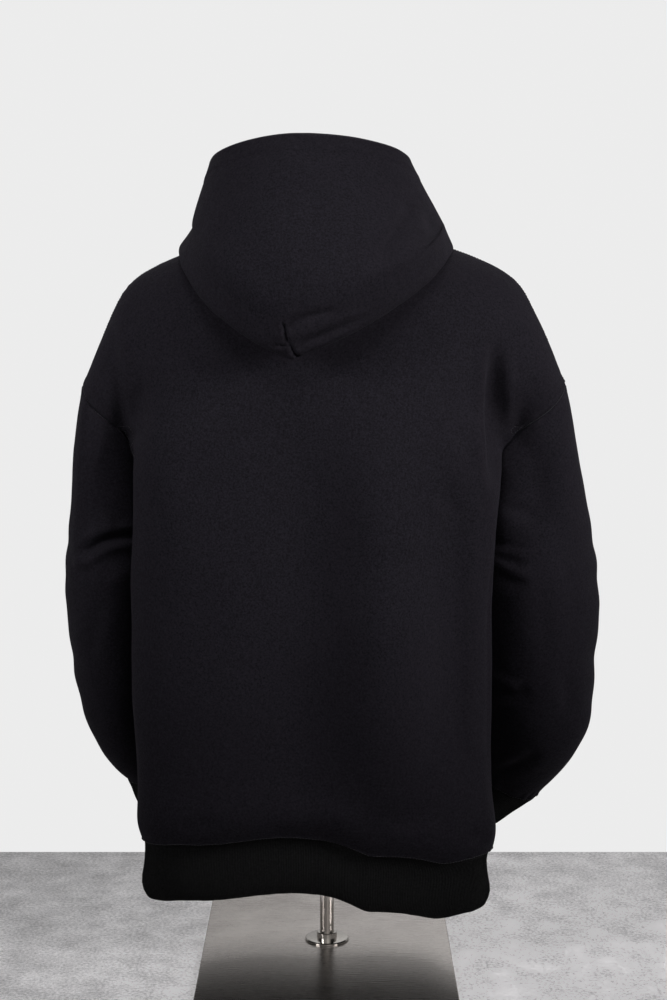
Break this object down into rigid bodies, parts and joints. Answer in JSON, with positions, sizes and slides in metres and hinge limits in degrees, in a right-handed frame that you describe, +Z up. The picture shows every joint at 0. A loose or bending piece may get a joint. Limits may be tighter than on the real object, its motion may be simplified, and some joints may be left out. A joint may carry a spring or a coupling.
{
  "type": "pullover hoodie on dress form stand",
  "caption": "Black heavyweight pullover hoodie with dropped shoulders, ribbed hem and cuffs, hood worn down, on a limbless dress form with a pole and a flat steel base.",
  "frame": {"origin": "centre of the base plate's underside, on the pole's axis", "axes": "+Z up, +Y out of the garment's back, +X to the wearer's left"},
  "size_m": [0.5992, 0.4, 0.9084],
  "materials": {
    "jersey": "matt heavyweight cotton knit, black with a slight navy cast, soft sheen",
    "ribbing": "matt black ribbed knit with fine upright ribs",
    "form_cover": "plain matt cover in pale linen",
    "chrome": "polished",
    "steel": "brushed, faint grain along the plate"
  },
  "bodies": {
    "root": {"back": "jersey", "front": "jersey", "sleeve_left": "jersey", "sleeve_right": "jersey", "cuff_left": "ribbing", "cuff_right": "ribbing", "hem_rib": "ribbing", "hood": "jersey", "torso_form": "form_cover", "pole": "chrome", "flange": "chrome", "base_plate": "steel"}
  },
  "joints": []
}
